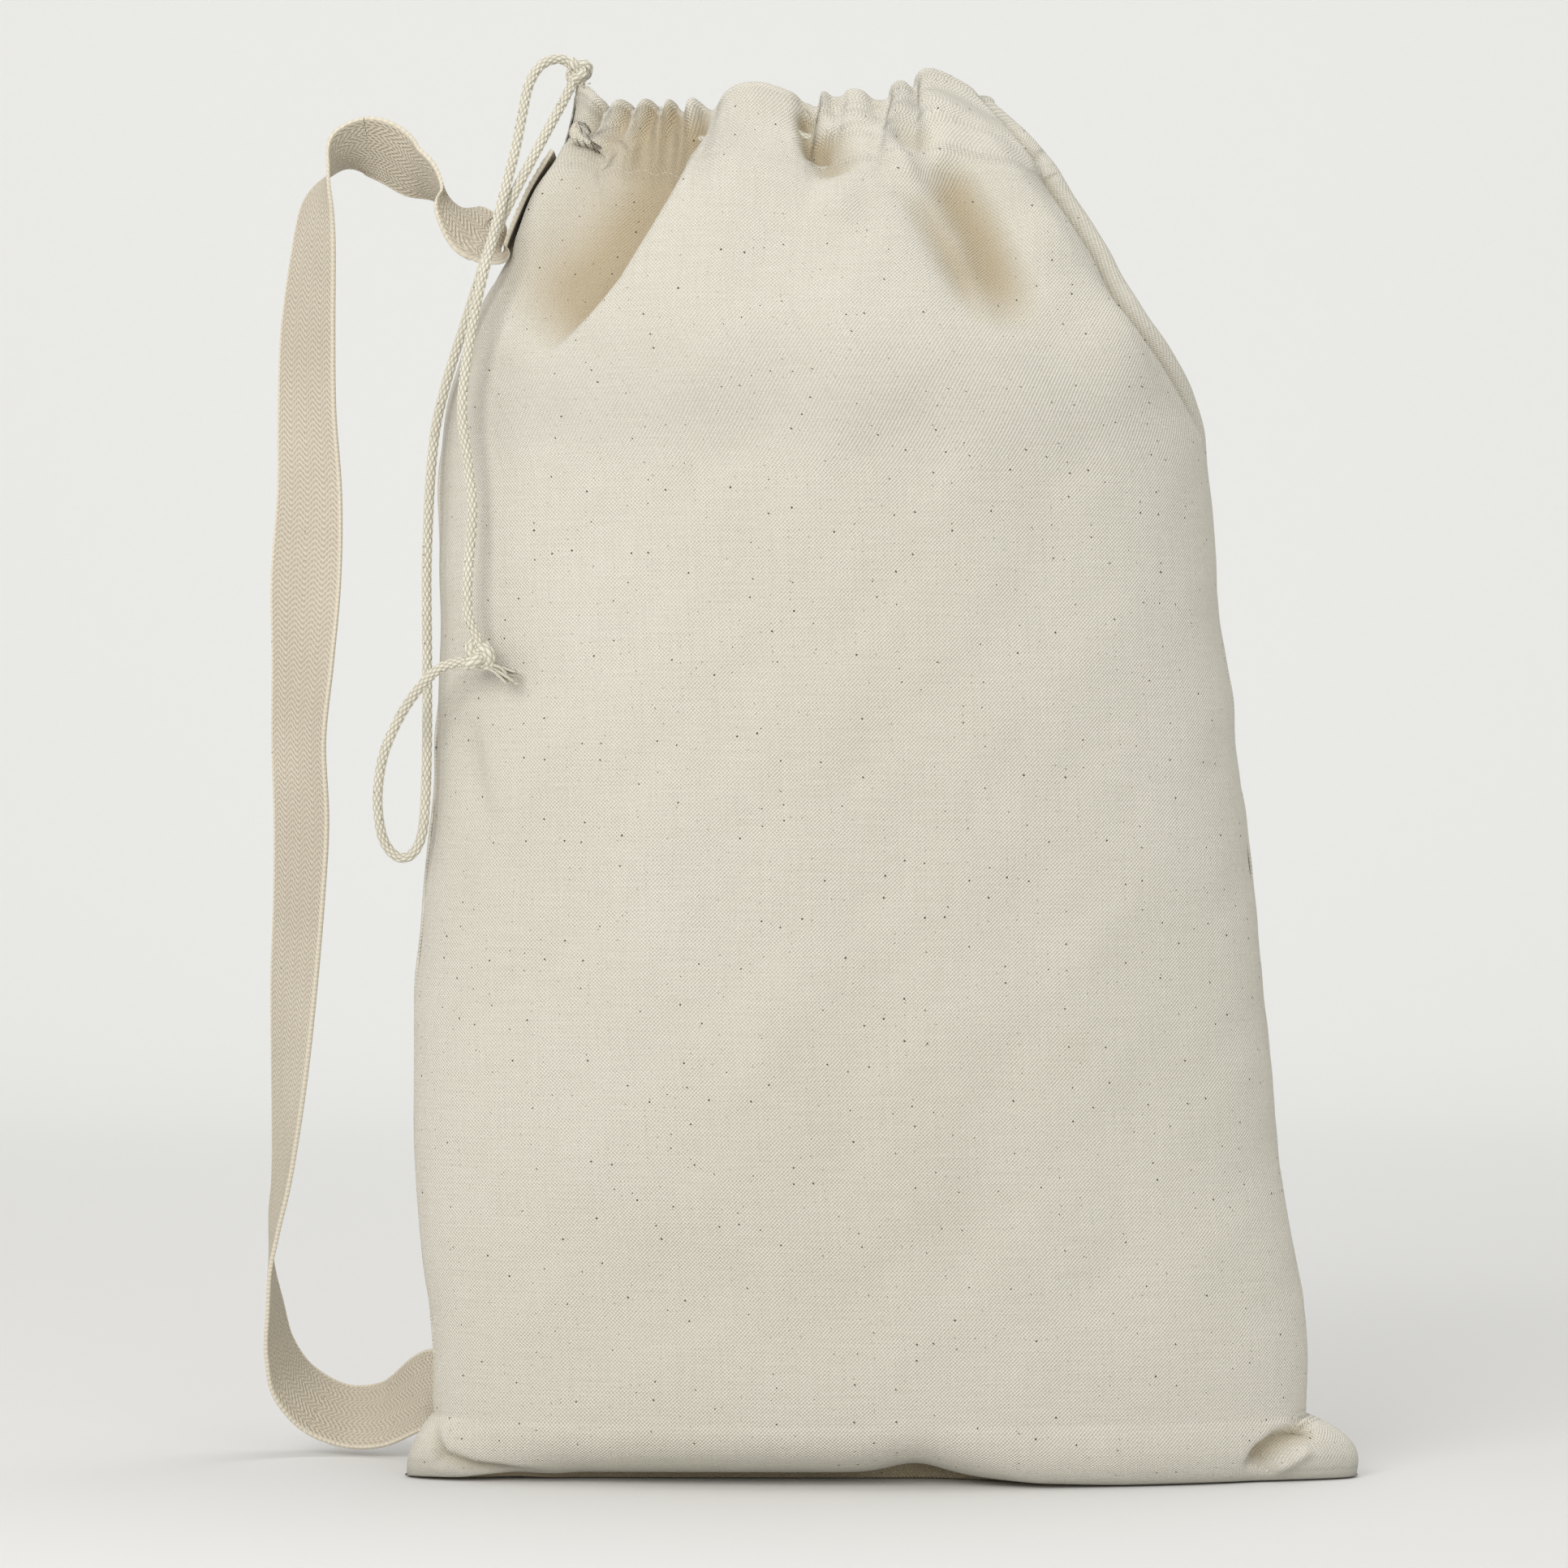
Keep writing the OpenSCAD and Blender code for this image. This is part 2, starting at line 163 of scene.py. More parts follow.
def tube(name, path, radius, material, sides=24, braid=0.0):
    """Round cord along the path. braid is how deep its crossing strands are cut."""
    run, u, v = frames(path)
    s = along(path)
    turn = np.linspace(0, 2 * np.pi, sides, endpoint=False)
    phase = 2 * np.pi * s[:, None] / BRAID_LAY
    around = BRAID_STRANDS * turn
    relief = np.abs(np.cos((around + phase) / 2) * np.cos((around - phase) / 2))
    r = np.broadcast_to(np.asarray(radius), s.shape)[:, None] - braid * (1 - relief)
    points = path[:, None] + r[..., None] * (
        np.cos(turn)[None, :, None] * u[:, None] + np.sin(turn)[None, :, None] * v[:, None]
    )
    uv = np.stack(np.broadcast_arrays(turn / (2 * np.pi) * CORD_ROUND, s[:, None]), axis=-1)
    mesh = grid_mesh(name, points, uv, wrap=True)
    close_ends(mesh, len(path), sides)
    return add_object(name, mesh, material)


def ribbon(name, path, widths, width, thick, material):
    """Webbing along the path with rounded edges. widths are the directions of its width."""
    run = unit(np.gradient(path, axis=0))
    w = unit(widths - run * np.sum(widths * run, axis=1, keepdims=True))
    t = np.cross(run, w)
    across = np.linspace(-1, 1, 15)
    edge = [(1 - 0.012, 1), (1, 0.45), (1, -0.45), (1 - 0.012, -1)]
    section = [(a * 0.985, 1) for a in across] + edge
    section += [(-a * 0.985, -1) for a in across] + [(-a, -b) for a, b in edge]
    section = np.array(section)
    points = (
        path[:, None]
        + section[None, :, :1] * w[:, None] * width / 2
        + section[None, :, 1:] * t[:, None] * thick / 2
    )
    uv = np.stack(np.broadcast_arrays(section[None, :, 0] * width / 2, along(path)[:, None]), axis=-1)
    mesh = grid_mesh(name, points, uv, wrap=True)
    close_ends(mesh, len(path), len(section))
    return add_object(name, mesh, material)


def join_meshes(name, objects):
    """One object from several, named anew."""
    with bpy.context.temp_override(
        active_object=objects[0], selected_objects=objects, selected_editable_objects=objects
    ):
        bpy.ops.object.join()
    objects[0].name = name
    return objects[0]


def stitches(name, path, lift, length, pitch, thick, material):
    """A row of separate thread stitches along the path. lift points out of the cloth."""
    s = along(path)
    sides = 6
    turn = np.linspace(0, 2 * np.pi, sides, endpoint=False)
    rings = []
    for start in np.arange(0, s[-1] - length, pitch):
        at = np.linspace(start, start + length, 5)
        line = np.column_stack([np.interp(at, s, path[:, k]) for k in range(3)])
        off = unit(np.column_stack([np.interp(at, s, lift[:, k]) for k in range(3)]))
        side = np.cross(unit(line[-1] - line[0]), off)
        line = line + off * np.array([-0.6, 0.3, 0.5, 0.3, -0.6])[:, None] * thick
        rings.append(
            line[:, None]
            + thick / 2 * np.cos(turn)[None, :, None] * off[:, None]
            + thick / 2 * np.sin(turn)[None, :, None] * side[:, None]
        )
    points = np.array(rings)
    faces = [
        ((c * 5 + i) * sides + j, (c * 5 + i) * sides + (j + 1) % sides,
         (c * 5 + i + 1) * sides + (j + 1) % sides, (c * 5 + i + 1) * sides + j)
        for c in range(len(rings)) for i in range(4) for j in range(sides)
    ]
    mesh = bpy.data.meshes.new(name)
    mesh.from_pydata(points.reshape(-1, 3).tolist(), [], faces)
    mesh.polygons.foreach_set("use_smooth", [True] * len(faces))
    return add_object(name, mesh, material)


def strip(name, path, inward, width, thick, material):
    """Flat band of cloth from the path to width away, in the inward direction of each point."""
    share = np.linspace(0, 1, 5)
    points = path[:, None] + share[None, :, None] * width * inward[:, None]
    uv = np.stack(np.broadcast_arrays(share * width, along(path)[:, None]), axis=-1)
    band = add_object(name, grid_mesh(name, points, uv), material)
    thickness = band.modifiers.new("cloth", "SOLIDIFY")
    thickness.thickness = thick
    thickness.offset = 0
    return band


# ---- materials ----


class Nodes:
    """Short names for building one material's node tree."""

    def __init__(self, name, roughness, sheen=0.0):
        self.material = bpy.data.materials.new(name)
        self.material.use_nodes = True
        self.tree = self.material.node_tree
        self.shader = self.tree.nodes["Principled BSDF"]
        self.shader.inputs["Roughness"].default_value = roughness
        self.shader.inputs["Sheen Weight"].default_value = sheen
        self.shader.inputs["Sheen Roughness"].default_value = 0.6
        self.shader.inputs["Specular IOR Level"].default_value = 0.2

    def add(self, kind, **values):
        node = self.tree.nodes.new("ShaderNode" + kind)
        for key, value in values.items():
            if key in node.bl_rna.properties:
                setattr(node, key, value)
            else:
                node.inputs[key.replace("_", " ").title()].default_value = value
        return node

    def link(self, a, b):
        self.tree.links.new(a, b)

    def uv(self):
        return self.add("UVMap", uv_map="flat").outputs["UV"]

    def place(self):
        return self.add("TexCoord").outputs["Object"]

    def math(self, operation, a, b=None):
        node = self.add("Math", operation=operation)
        for socket, value in zip(node.inputs, (a, b)):
            if value is None:
                continue
            if isinstance(value, (int, float)):
                socket.default_value = value
            else:
                self.link(value, socket)
        return node.outputs[0]

    def split(self, vector):
        node = self.add("SeparateXYZ")
        self.link(vector, node.inputs[0])
        return node.outputs[0], node.outputs[1]

    def stretched(self, vector, scale):
        node = self.add("VectorMath", operation="MULTIPLY")
        self.link(vector, node.inputs[0])
        node.inputs[1].default_value = scale
        return node.outputs[0]

    def noise(self, vector, scale, detail=2.0):
        node = self.add("TexNoise", Scale=scale, Detail=detail)
        self.link(vector, node.inputs["Vector"])
        return node.outputs["Fac"]

    def ramp(self, value, low, high, a, b):
        """Maps value from low..high to a..b, clamped."""
        node = self.add("MapRange")
        self.link(value, node.inputs["Value"])
        for key, number in zip(("From Min", "From Max", "To Min", "To Max"), (low, high, a, b)):
            node.inputs[key].default_value = number
        return node.outputs[0]

    def mix(self, share, a, b):
        node = self.add("Mix", data_type="RGBA")
        for socket, value in ((node.inputs[0], share), (node.inputs[6], a), (node.inputs[7], b)):
            if isinstance(value, (int, float)):
                socket.default_value = value
            elif isinstance(value, tuple):
                socket.default_value = (*value, 1)
            else:
                self.link(value, socket)
        return node.outputs[2]

    def specks(self, vector, cell, size, share):
        """1 inside small round specks of up to that radius, in that share of the cells."""
        cells = self.add("TexVoronoi", voronoi_dimensions="2D", Scale=1 / cell)
        self.link(vector, cells.inputs["Vector"])
        colour = self.add("SeparateColor")
        self.link(cells.outputs["Color"], colour.inputs[0])
        chosen = self.math("LESS_THAN", colour.outputs[0], share)
        limit = self.ramp(colour.outputs[1], 0.0, 1.0, 0.5 * size / cell, size / cell)
        inside = self.math("LESS_THAN", cells.outputs["Distance"], limit)
        return self.math("MULTIPLY", chosen, inside)

    def finish(self, colour, height, depth, roughness=None):
        self.link(colour, self.shader.inputs["Base Color"])
        bump = self.add("Bump", Distance=depth)
        bump.inputs["Strength"].default_value = 1.0
        self.link(height, bump.inputs["Height"])
        self.link(bump.outputs[0], self.shader.inputs["Normal"])
        if roughness is not None:
            self.link(roughness, self.shader.inputs["Roughness"])
        return self.material


WEAVE = 0.0018           # one repeat of the canvas weave
RIB, LOOP = 0.0027, 0.0022   # repeats of the webbing's ribs and of its edge


def canvas_material(name, light, dark):
    """Plain-woven natural canvas: crossing threads, slubs, uneven tone and seed flecks.

    The mesh attribute read below is painted shade: it is 1 deep in a fold, where the cloth is painted
    warmer and darker for the fold's shadow and the light bounced in it."""
    n = Nodes(name, 0.92, sheen=0.1)
    uv, place = n.uv(), n.place()
    u, v = n.split(uv)
    turn = 2 * math.pi / WEAVE
    warp = n.math("SINE", n.math("MULTIPLY", u, turn))
    weft = n.math("SINE", n.math("MULTIPLY", v, turn))
    dots = n.math("MULTIPLY", warp, weft)
    weft_slub = n.noise(n.stretched(uv, (34, 900, 1)), 1.0)
    warp_slub = n.noise(n.stretched(uv, (760, 26, 1)), 1.0)
    slub = n.math("ADD", weft_slub, n.math("MULTIPLY", warp_slub, 0.7))
    cloud = n.noise(place, 7.0, 3.0)
    tone = n.mix(n.ramp(cloud, 0.35, 0.68, 0.0, 1.0), dark, light)
    tone = n.mix(n.ramp(slub, 0.55, 1.05, 0.15, 0.0), tone, (0.34, 0.30, 0.22))
    tone = n.mix(n.ramp(dots, -0.8, 0.8, 0.46, 0.0), tone, (0.38, 0.34, 0.25))
    # painted shade: the cloth is painted warmer and darker where the mesh attribute says it lies in a
    # fold, under the bag or over the hem
    painted_shade = n.add("Attribute", attribute_name="painted_shade").outputs["Fac"]
    tone = n.mix(n.math("MULTIPLY", painted_shade, 0.92), tone, (0.46, 0.375, 0.24))
    big = n.math("MULTIPLY", n.specks(uv, 0.0095, 0.00054, 0.24), 0.95)
    small = n.math("MULTIPLY", n.specks(uv, 0.0048, 0.00038, 0.2), 0.6)
    tone = n.mix(big, tone, (0.09, 0.065, 0.045))
    tone = n.mix(small, tone, (0.19, 0.15, 0.10))
    height = n.math("ADD", n.math("MULTIPLY", dots, 0.9), n.math("MULTIPLY", slub, 0.8))
    rough = n.ramp(slub, 0.4, 1.2, 0.97, 0.85)
    return n.finish(tone, height, 0.0004, rough)


def webbing_material(name, light, dark, selvedge):
    """Heavy cotton webbing: herringbone ribs, and a looped edge."""
    n = Nodes(name, 0.9, sheen=0.1)
    uv, place = n.uv(), n.place()
    u, v = n.split(uv)
    zigzag = n.math("PINGPONG", n.math("ADD", u, 0.019), 0.0048)
    rib = n.math("SINE", n.math("MULTIPLY", n.math("ADD", v, zigzag), 2 * math.pi / RIB))
    pick = n.math("SINE", n.math("MULTIPLY", u, 2 * math.pi / 0.0016))
    pattern = n.math("ADD", n.math("MULTIPLY", rib, 0.7), n.math("MULTIPLY", pick, 0.3))
    edge = n.ramp(n.math("ABSOLUTE", u), 0.0172, 0.0182, 0.0, 1.0)
    loops = n.math("SINE", n.math("MULTIPLY", v, 2 * math.pi / LOOP))
    cloud = n.noise(place, 14.0, 3.0)
    tone = n.mix(n.ramp(cloud, 0.35, 0.7, 0.0, 1.0), dark, light)
    tone = n.mix(n.ramp(pattern, -0.9, 0.7, 0.42, 0.0), tone, (0.26, 0.20, 0.13))
    edge_tone = n.mix(n.ramp(loops, -1.0, 0.4, 0.22, 0.0), selvedge, (0.34, 0.28, 0.20))
    tone = n.mix(edge, tone, edge_tone)
    flecks = n.math("MULTIPLY", n.specks(uv, 0.009, 0.0005, 0.12), 0.5)
    tone = n.mix(flecks, tone, (0.12, 0.09, 0.06))
    height = n.mix(edge, pattern, n.math("MULTIPLY", loops, 0.3))
    rough = n.ramp(pattern, -1.0, 1.0, 0.97, 0.84)
    return n.finish(tone, height, 0.00042, rough)


def cord_material(name, light, dark):
    """Braided cotton cord: dark gaps where the strands cross, and plant flecks."""
    n = Nodes(name, 0.88, sheen=0.15)
    uv, place = n.uv(), n.place()
    u, v = n.split(uv)
    around = n.math("MULTIPLY", u, math.pi * BRAID_STRANDS / CORD_ROUND)
    phase = n.math("MULTIPLY", v, math.pi / BRAID_LAY)
    one = n.math("ABSOLUTE", n.math("COSINE", n.math("ADD", around, phase)))
    other = n.math("ABSOLUTE", n.math("COSINE", n.math("SUBTRACT", around, phase)))
    relief = n.math("MULTIPLY", one, other)
    fibres = n.noise(place, 1500.0, 2.0)
    cloud = n.noise(place, 60.0, 3.0)
    tone = n.mix(n.ramp(cloud, 0.3, 0.7, 0.0, 1.0), dark, light)
    tone = n.mix(n.ramp(relief, 0.0, 0.6, 0.75, 0.0), tone, (0.31, 0.27, 0.19))
    tone = n.mix(n.ramp(fibres, 0.35, 0.6, 0.2, 0.0), tone, (0.34, 0.29, 0.20))
    flecks = n.math("MULTIPLY", n.specks(uv, 0.0045, 0.0006, 0.3), 0.6)
    tone = n.mix(flecks, tone, (0.13, 0.10, 0.07))
    rough = n.ramp(cloud, 0.3, 0.7, 0.95, 0.82)
    return n.finish(tone, n.math("ADD", fibres, relief), 0.0002, rough)


def thread_material(name, light):
    """Spun cotton sewing thread."""
    n = Nodes(name, 0.7, sheen=0.1)
    twist = n.noise(n.place(), 2600.0, 1.0)
    tone = n.mix(n.ramp(twist, 0.3, 0.7, 0.3, 0.0), light, (0.42, 0.36, 0.26))
    return n.finish(tone, twist, 0.00005, n.ramp(twist, 0.3, 0.7, 0.8, 0.6))


CANVAS = canvas_material("canvas", (0.815, 0.782, 0.693), (0.775, 0.745, 0.648))
WEBBING = webbing_material("webbing", (0.67, 0.61, 0.49), (0.60, 0.54, 0.43), (0.65, 0.595, 0.48))
CORD = cord_material("cord", (0.73, 0.71, 0.61), (0.65, 0.625, 0.53))
THREAD = thread_material("thread", (0.74, 0.71, 0.62))
TACK_THREAD = thread_material("tack_thread", (0.36, 0.32, 0.25))

# ---- drawstring ----

EXIT = np.array([-143, -2, 672]) * MM
CORD_ROUTE = EXIT + MM * np.array([
    [0, 0, 0], [-8, -3, 5], [-17, -6, 2], [-23, -10, -8], [-26, -17, -24], [-29, -25, -42],
    [-34, -34, -64], [-39, -41, -86], [-45, -47, -112], [-50, -52, -142], [-52, -55, -167],
    [-49, -57, -192], [-47, -58, -214], [-49, -58, -242], [-49, -58, -262], [-44, -59, -276],
    [-45, -58, -284], [-53, -55, -284], [-63, -50, -287], [-73, -43, -296], [-83, -35, -310],
    [-91, -29, -328], [-94, -24, -348], [-92, -20, -366], [-86, -18, -375], [-79, -18, -375],
    [-74, -18, -367], [-72, -18, -352], [-71, -18, -322], [-71, -18, -277], [-71, -19, -232],
    [-68, -21, -182], [-62, -24, -153], [-51, -28, -119], [-40, -30, -86], [-28, -29, -60],
    [-14, -17, -31], [-5, -6, -12], [0, 0, 0],
])
CORD_D = 0.0048
STRAND_X, STRAND_APART = -142 * MM, 5.1 * MM
STRAND_TOP, STRAND_FOOT = 668 * MM, 638.2 * MM
END_KNOT_AT = EXIT + MM * np.array([-44, -59, -281])


def knot(name, centre, facing, up, size, cord_r):
    """An overhand knot pulled tight: a closed trefoil of cord round a small core.

    facing is the way its three lobes look, up is where one of them points."""
    facing = unit(np.asarray(facing, float))
    across = unit(np.cross(up, facing))
    up = np.cross(facing, across)
    t = np.linspace(0, 2 * np.pi, 181)
    a = (size / 2 - cord_r) / 3
    x = a * (np.sin(t) + 2 * np.sin(2 * t))
    y = a * (np.cos(t) - 2 * np.cos(2 * t))
    z = -0.9 * cord_r * np.sin(3 * t)
    path = np.asarray(centre) + x[:, None] * across + y[:, None] * up + z[:, None] * facing
    core = np.asarray(centre) + np.linspace(-0.6, 0.6, 9)[:, None] * up * cord_r
    made = [
        tube(name + "_turns", path, cord_r, CORD, sides=32, braid=0.0004),
        tube(name + "_core", core, cord_r, CORD),
    ]
    return join_meshes(name, made)


def frayed(name, start, directions, length):
    """Loose yarns that fan out of a cut cord end, each curling a little."""
    made = []
    for k, direction in enumerate(directions):
        run = unit(np.asarray(direction, float))
        curl = rng.normal(0, 0.10, 3)
        reach = length * rng.uniform(0.75, 1.0)
        t = np.linspace(0, 1, 24)[:, None]
        root = np.asarray(start) + rng.normal(0, 0.0009, 3)
        path = root + reach * t * run + reach * t**2 * curl
        path = path + 0.0004 * np.sin(9 * t + k) * rng.normal(0, 1, 3)
        thick = np.interp(t[:, 0], (0, 0.9, 1), (0.0009, 0.0009, 0.0007))
        made.append(tube(f"{name}_{k}", path, thick, CORD, sides=10))
    return join_meshes(name, made)


def exit_strands():
    """The two strands that run from the stopper knot down into the tunnel."""
    made = []
    for side in (-1, 1):
        y = side * STRAND_APART / 2
        path = evenly(np.array([[STRAND_X, y, STRAND_TOP], [STRAND_X, y, STRAND_FOOT]]), 0.0005)
        made.append(tube(f"exit_strand_{side}", path, CORD_D / 2, CORD, sides=32, braid=0.0004))
    return join_meshes("exit_strands_cord", made)


def make_drawstring():
    path = evenly(smooth_path(CORD_ROUTE, 8), 0.0005)
    cord = tube("drawstring_cord", path, 1.08 * CORD_D / 2, CORD, sides=32, braid=0.0006)
    stopper = knot("stopper_knot", EXIT, (0.35, -0.8, 0.3), (0.4, 0.2, 0.9), 0.0152, 0.0027)
    end = knot("tied_knot", END_KNOT_AT, (-0.35, -0.8, 0.35), (0.75, 0.0, 0.6), 0.0188, 0.0031)
    tails = frayed(
        "frayed_ends",
        END_KNOT_AT + (0.003, -0.001, -0.003),
        [
            (0.95, -0.2, -0.28), (0.93, -0.1, -0.36), (0.88, -0.3, -0.42), (0.86, -0.05, -0.48),
            (0.84, -0.2, -0.55), (0.80, -0.32, -0.58), (0.76, -0.1, -0.66), (0.9, 0.05, -0.38),
        ],
        0.0195,
    )
    strands = exit_strands()
    for piece, node in (
        (cord, "drawstring"), (stopper, "exit_knot"), (end, "end_knot"), (tails, "frayed_tails"),
        (strands, "exit_strands"),
    ):
        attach(piece, "drawstring")
        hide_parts(node)


make_drawstring()

# ---- the bag's cloth ----

# Height, left edge and right edge of the bag as seen from the front
SIDES = smooth_path(MM * np.array([
    [0, -203, 203], [12, -209, 205], [32, -212, 205], [62, -213, 206], [100, -217, 201],
    [140, -220, 195], [180, -221, 191], [222, -222, 185], [270, -218, 181], [315, -214, 177],
    [355, -211, 171], [410, -209, 163], [470, -210, 160], [492, -209, 157], [512, -206, 149],
    [530, -201, 141], [548, -195, 132], [566, -187, 121], [586, -176, 110], [613, -165, 92],
    [632, -153, 77], [650, -147, 61], [664, -145, 46], [680, -143, 34],
]), 6)
# Height and half depth, the same in front and behind
DEPTHS = smooth_path(MM * np.array([
    [0, 46], [30, 57], [110, 67], [222, 79], [340, 89], [450, 94], [505, 93], [550, 84],
    [590, 70], [620, 56], [645, 43], [680, 33],
]), 6)
CURL_Z = 0.030      # the cloth curls up from the base to this height
RIM = 0.660         # height of a level rim
HEM = 0.034         # turned-down hem
FOLD_R = 0.0032     # radius of the hem's fold over the tunnel
CLOTH = 0.0009      # thickness shown
STRAP_HOLDS = (0.572, 0.634)   # the sewn strap end flattens the left seam between these heights
COLUMNS = 480
BASE_ROWS = 40
WALL_ROWS = 400
ROW_STEP = (RIM - CURL_Z) / (WALL_ROWS - 1)
GATHER_X = -0.048   # the gathers fan out from here
DEEPEST = 0.017     # no fold goes deeper
CLEAR = 0.0004      # the base stays this far off the floor
PAINTED_SHADE_FROM, PAINTED_SHADE_SPAN = 0.0018, 0.0085   # the painted shade in a fold grows over this depth of the fold


def edges(z):
    return np.interp(z, SIDES[:, 0], SIDES[:, 1]), np.interp(z, SIDES[:, 0], SIDES[:, 2])


def half_depth(z):
    return np.interp(z, DEPTHS[:, 0], DEPTHS[:, 1])


def right_seam(z):
    """Angle of the right seam: at the shoulder it comes round to the front."""
    return np.pi - math.radians(25) * ease((z - 0.470) / 0.09) * (1 - 0.35 * ease((z - 0.62) / 0.04))


def wall(q, z):
    """Point of the plain bag at angle q (0 left seam, 90 front, 180 right) and height z."""
    left, right = edges(z)
    s = -np.cos(q)
    out = ease((np.abs(s) - 0.86) / 0.14)
    t = np.clip(z / CURL_Z, 0, 1)
    ear = np.where(s < 0, 0.022 * (1 - t) ** 0.8, 0.026 * (1 - t**3))
    x = (left + right) / 2 + s * (right - left) / 2 + np.sign(s) * ear * out
    y = -np.sin(q) * half_depth(z)
    # the sewn end of the strap holds the cloth flat on the left seam
    low, high = STRAP_HOLDS
    under_strap = ease((z - low) / 0.02) * (1 - ease((z - high) / 0.012))
    held = np.where(s < 0, under_strap * (1 - ease((np.abs(y) - 0.019) / 0.014)), 0)
    x = x + (left - x) * held
    return np.stack(np.broadcast_arrays(x, y, z), axis=-1)


def fold(x, z, line, depth, left, right, fade, start):
    """Height of a fold along a line of (x, z) points, top first. Negative depth makes a ridge.

    left and right are how far it fades to each side; a short one makes a sharp edge.
    It fades over that share of its lower end, and grows over the start share of its top."""
    line = np.asarray(line, float) * MM
    length = along(line)
    best = np.full(x.shape, 1e9)
    signed = np.zeros(x.shape)
    share = np.zeros(x.shape)
    for a, b, s0 in zip(line, line[1:], length):
        d = b - a
        n = np.hypot(*d)
        t = np.clip(((x - a[0]) * d[0] + (z - a[1]) * d[1]) / n**2, 0, 1)
        away = np.hypot(x - a[0] - t * d[0], z - a[1] - t * d[1])
        side = (d[0] * (z - a[1]) - d[1] * (x - a[0])) / n
        near = away < best
        best = np.where(near, away, best)
        signed = np.where(near, side, signed)
        share = np.where(near, (s0 + t * n) / length[-1], share)
    blend = ease((signed / MM + 1.5) / 3)
    reach = (left * (1 - blend) + right * blend) * MM
    body = np.exp(-((best / reach) ** 2))
    grown = ease(share / start)
    fading = 1 - ease((share - 1 + fade) / fade)
    return -depth * MM * body * grown * fading


# Each fold of the front: line from its top, depth, how far it fades to the left and right
FRONT_FOLDS = [
    # the long valley down the left shoulder, and the round ridge beside it
    ([(-80, 650), (-92, 630), (-104, 607), (-126, 572), (-152, 541), (-168, 524)], 15, 36, 5, 0.35, 0.1),
    ([(-68, 650), (-88, 612), (-110, 574), (-140, 538)], -7, 10, 34, 0.6, 0.2),
    ([(-112, 634), (-134, 600), (-160, 566)], -3, 14, 16, 0.5, 0.3),
    # the pinch in the middle, and the pocket under it
    ([(-35, 650), (-35, 640), (-32, 630), (-20, 626)], 9, 3.5, 8, 0.3, 0.15),
    ([(-27, 640), (-24, 626), (-20, 613)], 8, 9, 13, 0.3, 0.2),
    ([(-34, 608), (-20, 602), (-4, 605)], -3.5, 9, 9, 0.5, 0.4),
    # the tuck and the valley right of the middle, with a narrow round fold beside it
    ([(2, 640), (12, 637), (32, 630)], 5, 6, 8, 0.4, 0.3),
    ([(28, 636), (38, 615), (50, 590), (58, 562), (62, 528)], 13, 15, 15, 0.45, 0.25),
    ([(-2, 648), (8, 628), (24, 604), (36, 580)], -4, 6, 5, 0.6, 0.2),
    ([(12, 624), (22, 602), (38, 570), (48, 535)], 6, 10, 6, 0.5, 0.3),
    # the fold down the right shoulder, in front of the seam
    ([(40, 650), (66, 612), (88, 576), (112, 540), (136, 502)], -6, 18, 8, 0.3, 0.15),
    ([(84, 590), (88, 550), (91, 508)], 3.5, 17, 19, 0.6, 0.3),
    # soft creases: low on the left side, across the belly, and above the base
    ([(-196, 372), (-187, 320), (-172, 300)], 2.6, 10, 5, 0.6, 0.3),
    ([(-150, 120), (-60, 92), (40, 100)], 1.6, 30, 24, 0.5, 0.3),
    ([(60, 500), (80, 440), (84, 380)], 2.2, 34, 30, 0.6, 0.3),
    ([(-60, 520), (-90, 460), (-96, 400)], 1.8, 30, 34, 0.6, 0.3),
    # the left ear's crease under the body, and its pocket
    ([(-212, 34), (-211, 20), (-207, 12), (-192, 7), (-170, 4.5), (-150, 4)], 5.5, 4, 2.5, 0.5, 0.3),
    # the right ear's pocket beside the body, and the raised edge under it
    ([(206, 29), (197, 25), (189, 21.5), (181, 15.5), (176, 9), (175, 4)], 9, 2.5, 9, 0.3, 0.1),
    ([(208, 17), (196, 10), (184, 4)], -4, 3, 3, 0.3, 0.3),
]
# Folds behind: two long soft valleys between the gathers
BACK_FOLDS = [
    ([(-100, 650), (-120, 600), (-150, 545)], 11, 24, 6, 0.4, 0.1),
    ([(-10, 650), (12, 600), (46, 540), (60, 500)], 12, 8, 26, 0.5, 0.1),
    ([(-60, 650), (-62, 600), (-70, 560)], 8, 10, 14, 0.5, 0.1),
    ([(212, 28), (200, 16), (190, 4)], 5, 5, 3, 0.3, 0.2),
    ([(-212, 28), (-204, 14), (-190, 4)], 4, 3, 5, 0.3, 0.2),
]
# Gathers at the rim: place along it, depth, half width and how far they run down
FRONT_GATHERS = MM * np.array([
    [-131, 6, 2.4, 36], [-119, 7, 2.4, 42], [-107, 7, 2.4, 48], [-96, 7, 2.4, 44],
    [-81, 7, 3.0, 40], [-35.5, 7, 2.6, 26], [-22, 3.5, 2.6, 26], [-3, 4.5, 3.0, 30], [17, 2.5, 3.4, 26],
])
BACK_GATHERS = MM * np.array([
    [-132, 5, 2.6, 44], [-116, 5.5, 2.8, 52], [-98, 6, 3.0, 40], [-80, 5.5, 2.6, 60], [-60, 7, 3.0, 40],
    [-42, 5.5, 2.6, 55], [-24, 6, 2.8, 36], [-8, 6, 2.8, 48], [8, 5, 2.6, 40],
])
